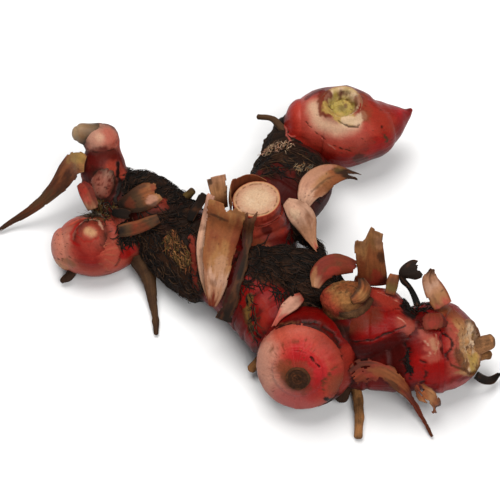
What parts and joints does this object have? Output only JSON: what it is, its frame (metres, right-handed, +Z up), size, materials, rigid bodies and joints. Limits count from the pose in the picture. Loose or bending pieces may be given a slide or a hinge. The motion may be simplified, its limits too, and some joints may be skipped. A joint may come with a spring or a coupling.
{
  "type": "galangal root",
  "caption": "Freshly dug galangal rhizome: ringed red lobes joined in one branching piece, with cut stems, short roots, matted dark fibre and dry torn scales, lying on a surface.",
  "frame": {"origin": "middle of the bounding box's footprint, on the surface the rhizome lies on", "axes": "+X along the longest extent, from the long dry leaf towards the cut end with two root stubs; +Y towards the pointed upper lobe; +Z up from the surface"},
  "size_m": [0.205, 0.1514, 0.0561],
  "materials": {
    "skin": "smooth moist crimson skin with dark ring scars, cream cut faces and black fibre mats",
    "scale_straw": "dry matt straw-brown scale with fine lengthwise fibres",
    "scale_pink": "dry matt pale pink scale with fine lengthwise fibres",
    "scale_red": "thin matt red-brown scale",
    "scale_dark": "dry matt dark brown scale, wrinkled",
    "scale_black": "rotted black fibre, matt"
  },
  "bodies": {
    "root": {"rhizome": "skin", "scale_centre": "scale_straw", "scale_centre_edge": "scale_pink", "scale_centre_dark": "scale_dark", "scale_centre_side": "scale_black", "scale_pink_strip": "scale_pink", "scale_disc_wrap": "scale_pink", "scale_upper_forked": "scale_pink", "scale_spoon": "scale_pink", "scale_crown_fold": "scale_red", "scale_crown_tall": "scale_straw", "scale_crown_hook": "scale_dark", "scale_arm_small": "scale_pink", "scale_mid_strip": "scale_dark", "scale_black_curl": "scale_black", "scale_end_pale": "scale_pink", "scale_end_base": "scale_red", "husk_strand": "scale_straw", "husk_tuft": "scale_straw", "scale_end_black": "scale_black", "leaf_long_dry": "scale_dark", "scale_shoot_wrap": "scale_red", "scale_neck_tan": "scale_straw", "scale_neck_brown": "scale_dark", "scale_neck_black": "scale_black"}
  },
  "joints": []
}
